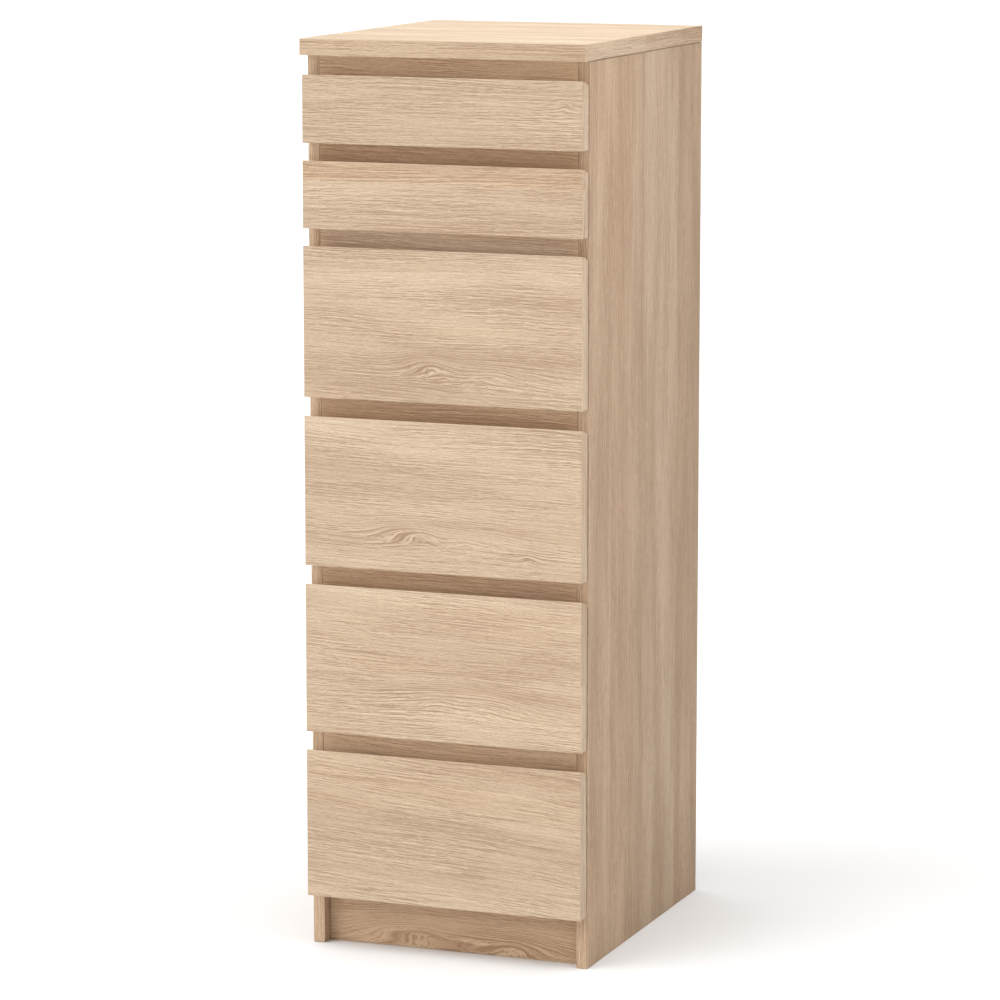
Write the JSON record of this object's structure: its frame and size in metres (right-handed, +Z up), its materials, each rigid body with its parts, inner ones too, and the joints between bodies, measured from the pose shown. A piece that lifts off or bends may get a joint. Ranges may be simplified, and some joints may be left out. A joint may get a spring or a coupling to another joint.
{
  "type": "tall chest of drawers",
  "caption": "Tall narrow chest of drawers with handle-less overlaid fronts, recessed rails and plinth, and a lift-up top lid with a mirror over a shallow tray.",
  "frame": {"origin": "on the floor, under the middle of the chest's outline", "axes": "+Z up, +X to the chest's right seen from the front, the drawers face -Y and pull out along -Y"},
  "size_m": [0.4, 0.48, 1.23],
  "materials": {
    "oak_veneer": "white-stained, matt lacquered veneer on particle board",
    "white_foil": "off-white foil on fibre board",
    "hardboard": "painted hardboard",
    "painted_steel": "off-white powder coat",
    "zinc_steel": "zinc plated",
    "mirror_glass": "polished"
  },
  "bodies": {
    "carcass": {"back_panel": "hardboard", "back_rail": "oak_veneer", "front_rail_1": "oak_veneer", "front_rail_2": "oak_veneer", "front_rail_3": "oak_veneer", "front_rail_4": "oak_veneer", "front_rail_5": "oak_veneer", "front_rail_6": "oak_veneer", "hinge_arm_left": "zinc_steel", "hinge_arm_right": "zinc_steel", "plinth": "oak_veneer", "runner_1_left": "painted_steel", "runner_1_right": "painted_steel", "runner_2_left": "painted_steel", "runner_2_right": "painted_steel", "runner_3_left": "painted_steel", "runner_3_right": "painted_steel", "runner_4_left": "painted_steel", "runner_4_right": "painted_steel", "runner_5_left": "painted_steel", "runner_5_right": "painted_steel", "runner_6_left": "painted_steel", "runner_6_right": "painted_steel", "side_panel_left": "oak_veneer", "side_panel_right": "oak_veneer", "tray_floor": "white_foil"},
    "lid": {"hinge_pocket_left": "zinc_steel", "hinge_pocket_right": "zinc_steel", "lid": "oak_veneer", "mirror": "mirror_glass"},
    "drawer_1": {"drawer_1_back": "white_foil", "drawer_1_bottom": "hardboard", "drawer_1_front": "oak_veneer", "drawer_1_side_left": "white_foil", "drawer_1_side_right": "white_foil"},
    "drawer_2": {"drawer_2_back": "white_foil", "drawer_2_bottom": "hardboard", "drawer_2_front": "oak_veneer", "drawer_2_side_left": "white_foil", "drawer_2_side_right": "white_foil"},
    "drawer_3": {"drawer_3_back": "white_foil", "drawer_3_bottom": "hardboard", "drawer_3_front": "oak_veneer", "drawer_3_side_left": "white_foil", "drawer_3_side_right": "white_foil"},
    "drawer_4": {"drawer_4_back": "white_foil", "drawer_4_bottom": "hardboard", "drawer_4_front": "oak_veneer", "drawer_4_side_left": "white_foil", "drawer_4_side_right": "white_foil"},
    "drawer_5": {"drawer_5_back": "white_foil", "drawer_5_bottom": "hardboard", "drawer_5_front": "oak_veneer", "drawer_5_side_left": "white_foil", "drawer_5_side_right": "white_foil"},
    "drawer_6": {"drawer_6_back": "white_foil", "drawer_6_bottom": "hardboard", "drawer_6_front": "oak_veneer", "drawer_6_side_left": "white_foil", "drawer_6_side_right": "white_foil"}
  },
  "joints": [
    {"name": "drawer_1_slide", "type": "slide", "parent": "carcass", "child": "drawer_1", "axis": [0, -1, 0], "range_m": [0, 0.33]},
    {"name": "drawer_2_slide", "type": "slide", "parent": "carcass", "child": "drawer_2", "axis": [0, -1, 0], "range_m": [0, 0.33]},
    {"name": "drawer_3_slide", "type": "slide", "parent": "carcass", "child": "drawer_3", "axis": [0, -1, 0], "range_m": [0, 0.33]},
    {"name": "drawer_4_slide", "type": "slide", "parent": "carcass", "child": "drawer_4", "axis": [0, -1, 0], "range_m": [0, 0.33]},
    {"name": "drawer_5_slide", "type": "slide", "parent": "carcass", "child": "drawer_5", "axis": [0, -1, 0], "range_m": [0, 0.33]},
    {"name": "drawer_6_slide", "type": "slide", "parent": "carcass", "child": "drawer_6", "axis": [0, -1, 0], "range_m": [0, 0.33]},
    {"name": "lid_hinge", "type": "hinge", "parent": "carcass", "child": "lid", "pos_m": [0, 0.233, 1.2205], "axis": [-1, 0, 0], "range_deg": [0, 88]}
  ]
}
